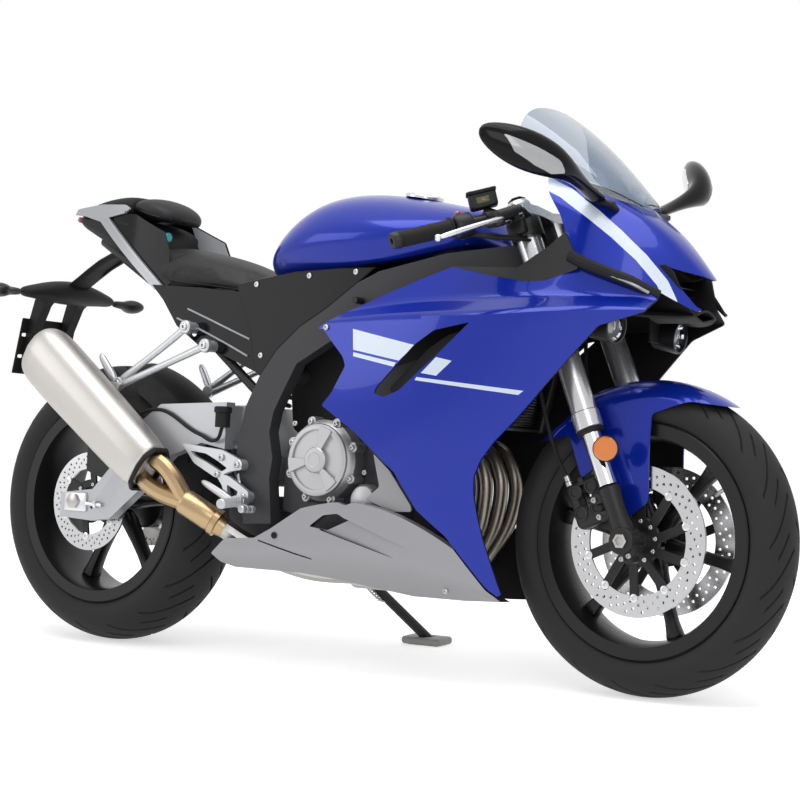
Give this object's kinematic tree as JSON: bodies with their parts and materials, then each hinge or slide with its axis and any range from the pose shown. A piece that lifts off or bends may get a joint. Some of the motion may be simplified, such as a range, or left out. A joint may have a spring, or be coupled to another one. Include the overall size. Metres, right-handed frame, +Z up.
{
  "type": "sport motorcycle",
  "caption": "Fully faired sport motorcycle parked on its side stand, with turning wheels, steering fork, fold-up stand and hinged fuel lid.",
  "frame": {"origin": "on the ground, under the middle of the whole machine as parked", "axes": "+X forward, +Y to the rider's left, +Z up; the machine leans 6 degrees to +Y"},
  "size_m": [1.9897, 0.823, 1.14],
  "materials": {
    "blue_paint": "gloss royal blue lacquer",
    "silver_paint": "satin silver paint",
    "frame_paint": "matte dark grey paint",
    "wheel_paint": "satin black paint",
    "black_metal": "satin black paint",
    "engine_metal": "cast, dark",
    "cover_metal": "cast and painted silver",
    "bare_alloy": "machined",
    "brushed": "brushed lengthways",
    "steel": "plain steel, turned",
    "chrome": "polished",
    "black_gloss": "gloss black",
    "black_matte": "grained matte black",
    "seat_cover": "black grained cover",
    "grip_rubber": "ribbed",
    "tyre": "road rubber",
    "clear": "clear, slightly smoked",
    "red_lens": "red lens"
  },
  "bodies": {
    "chassis": {"main_frame": "frame_paint", "subframe": "black_metal", "engine_block": "engine_metal", "engine_covers": "cover_metal", "radiator": "black_metal", "exhaust_headers": "steel", "exhaust_link_pipe": "steel", "muffler": "brushed", "swingarm": "silver_paint", "rear_axle": "steel", "rear_shock": "black_metal", "rear_caliper": "black_metal", "rear_hugger": "black_matte", "drive_chain": "steel", "fuel_tank": "blue_paint", "tank_side_covers": "black_gloss", "rider_seat": "seat_cover", "seat_side_covers": "black_gloss", "pillion_seat": "seat_cover", "tail_core": "black_matte", "tail_fins": "silver_paint", "tail_lamp": "red_lens", "plate_holder": "black_matte", "rear_indicators": "black_gloss", "fairing_stay": "black_metal", "panel_brackets": "black_metal", "nose_cowl": "blue_paint", "nose_duct": "black_matte", "windscreen": "clear", "headlamps": "black_gloss", "instrument_panel": "black_matte", "mirrors": "black_gloss", "side_fairing_left": "blue_paint", "side_fairing_right": "blue_paint", "belly_pan_left": "silver_paint", "belly_pan_right": "silver_paint", "footrest_brackets": "bare_alloy", "foot_controls": "bare_alloy", "footrests": "bare_alloy", "pillion_hangers": "bare_alloy"},
    "steering": {"triple_clamps": "bare_alloy", "fork_outer_tubes": "bare_alloy", "fork_inner_tubes": "chrome", "fork_feet": "black_metal", "front_axle": "steel", "handlebars": "black_metal", "grips": "grip_rubber", "hand_controls": "black_metal", "front_mudguard": "blue_paint", "front_calipers": "black_metal"},
    "front_wheel": {"front_rim": "wheel_paint", "front_tyre": "tyre", "front_discs": "steel"},
    "rear_wheel": {"rear_rim": "wheel_paint", "rear_tyre": "tyre", "rear_disc": "steel", "rear_sprocket": "steel"},
    "side_stand": {"side_stand": "black_metal"},
    "fuel_lid": {"fuel_lid": "bare_alloy"}
  },
  "joints": [
    {"name": "steering", "type": "hinge", "parent": "chassis", "child": "steering", "pos_m": [0.66938, -0.07829, 0.28523], "axis": [-0.3907, 0.0962, 0.9155], "range_deg": [-25, 25]},
    {"name": "front_wheel_spin", "type": "hinge", "parent": "steering", "child": "front_wheel", "pos_m": [0.697, -0.07706, 0.29689], "axis": [0, 0.9945, -0.1045], "continuous": true},
    {"name": "rear_wheel_spin", "type": "hinge", "parent": "chassis", "child": "rear_wheel", "pos_m": [-0.683, -0.0756, 0.31082], "axis": [0, 0.9945, -0.1045], "continuous": true},
    {"name": "side_stand_fold", "type": "hinge", "parent": "chassis", "child": "side_stand", "pos_m": [-0.118, 0.02743, 0.21955], "axis": [0.1209, 0.7646, 0.6331], "range_deg": [0, 98]},
    {"name": "fuel_lid_hinge", "type": "hinge", "parent": "chassis", "child": "fuel_lid", "pos_m": [0.16727, -0.00587, 0.97421], "axis": [0, 0.9945, -0.1045], "range_deg": [0, 95]}
  ]
}
